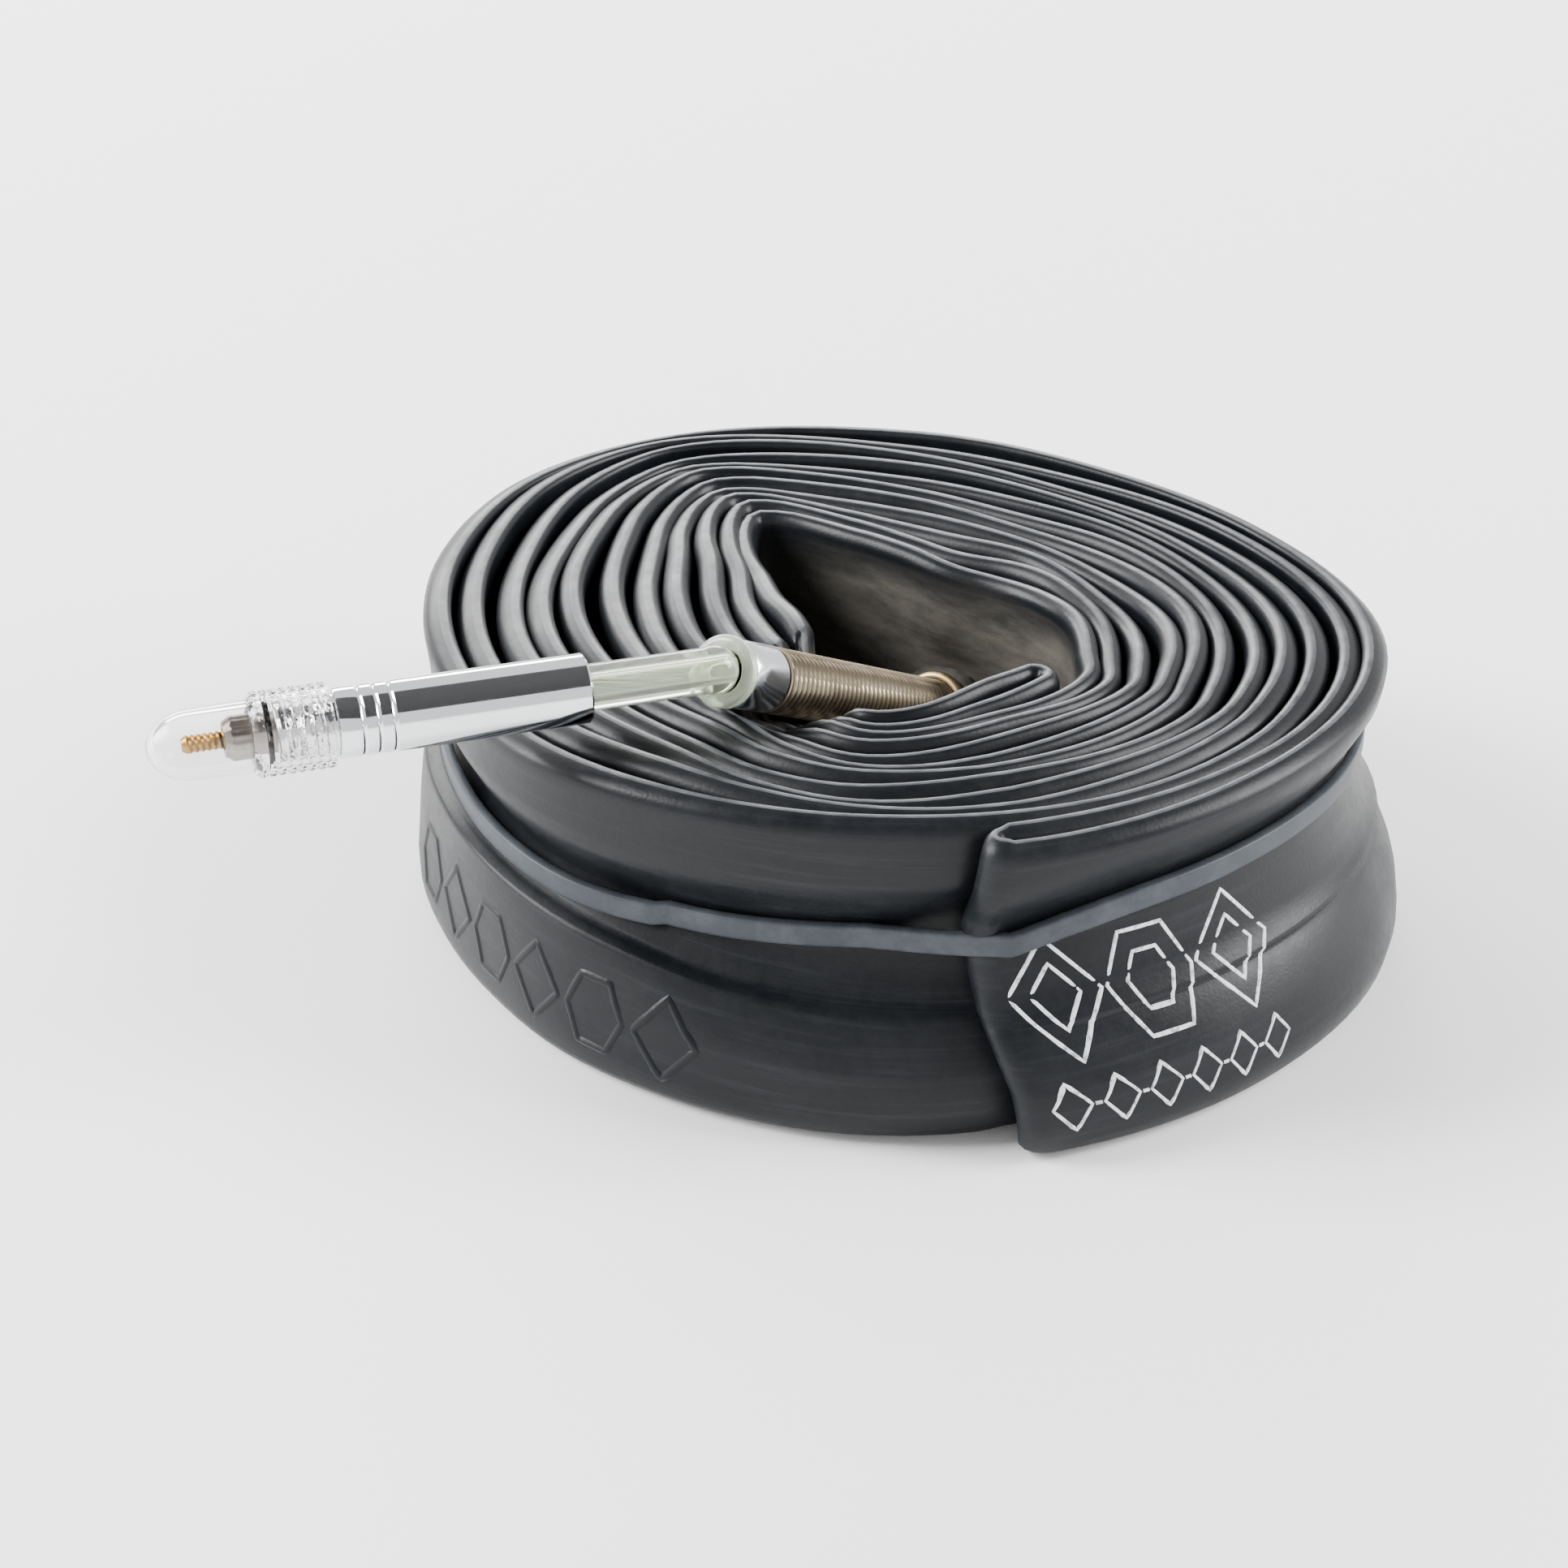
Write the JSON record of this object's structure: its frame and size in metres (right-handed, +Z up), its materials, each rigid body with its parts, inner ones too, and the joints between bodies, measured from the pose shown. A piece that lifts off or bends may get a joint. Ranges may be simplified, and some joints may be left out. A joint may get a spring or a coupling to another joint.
{
  "type": "inner tube",
  "caption": "Bicycle inner tube rolled flat and held by an elastic band, with a threaded valve stem and a swivelling, tilting capped valve barrel.",
  "frame": {"origin": "centre of the base of the whole object's box, on the surface the roll rests on", "axes": "+X to the right of the valve, the longest extent; +Z up through the roll"},
  "size_m": [0.1086, 0.0924, 0.0372],
  "materials": {
    "tube_rubber": "matt grey-black butyl rubber with a dusty bloom",
    "band_rubber": "smooth grey elastic band",
    "seal_rubber": "soft black seal rubber",
    "nickelled_brass": "dull nickel over brass, bronze brown",
    "plain_brass": "bare turned brass",
    "chrome": "bright chrome plate",
    "clear_plastic": "clear moulded plastic"
  },
  "bodies": {
    "roll": {"rubber_tube": "tube_rubber", "elastic_band": "band_rubber", "valve_patch": "tube_rubber", "base_washer": "plain_brass", "threaded_stem": "nickelled_brass", "collar_seal": "seal_rubber"},
    "swivel": {"swivel_collar": "chrome", "socket_ring": "clear_plastic"},
    "valve": {"swivel_link": "clear_plastic", "link_seal": "seal_rubber", "barrel": "chrome", "core_body": "nickelled_brass", "core_gasket": "seal_rubber"},
    "pin": {"core_pin": "plain_brass", "core_seal": "seal_rubber", "seal_cup": "plain_brass"},
    "nut": {"lock_nut": "nickelled_brass"},
    "cap": {"dust_cap": "clear_plastic"}
  },
  "joints": [
    {"name": "collar_swivel", "type": "hinge", "parent": "roll", "child": "swivel", "pos_m": [-0.00575, -0.01703, 0.03029], "axis": [0.4775, 0.7368, -0.4785], "range_deg": [0, 240]},
    {"name": "link_tilt", "type": "hinge", "parent": "swivel", "child": "valve", "pos_m": [-0.00904, -0.02211, 0.03359], "axis": [-0.2304, 0.6306, 0.7411], "range_deg": [0, 45]},
    {"name": "pin_press", "type": "slide", "parent": "valve", "child": "pin", "axis": [0.9393, 0.3431, 0], "range_m": [0, 0.00175]},
    {"name": "nut_turn", "type": "hinge", "parent": "valve", "child": "nut", "pos_m": [-0.04699, -0.03598, 0.03359], "axis": [-0.9393, -0.3431, 0], "range_deg": [0, 1260]},
    {"name": "cap_pull", "type": "slide", "parent": "valve", "child": "cap", "axis": [-0.9393, -0.3431, 0], "range_m": [0, 0.018]}
  ],
  "couplings": [
    {"joint": "nut_turn", "follows": "pin_press", "rad_per_m": 12566}
  ]
}
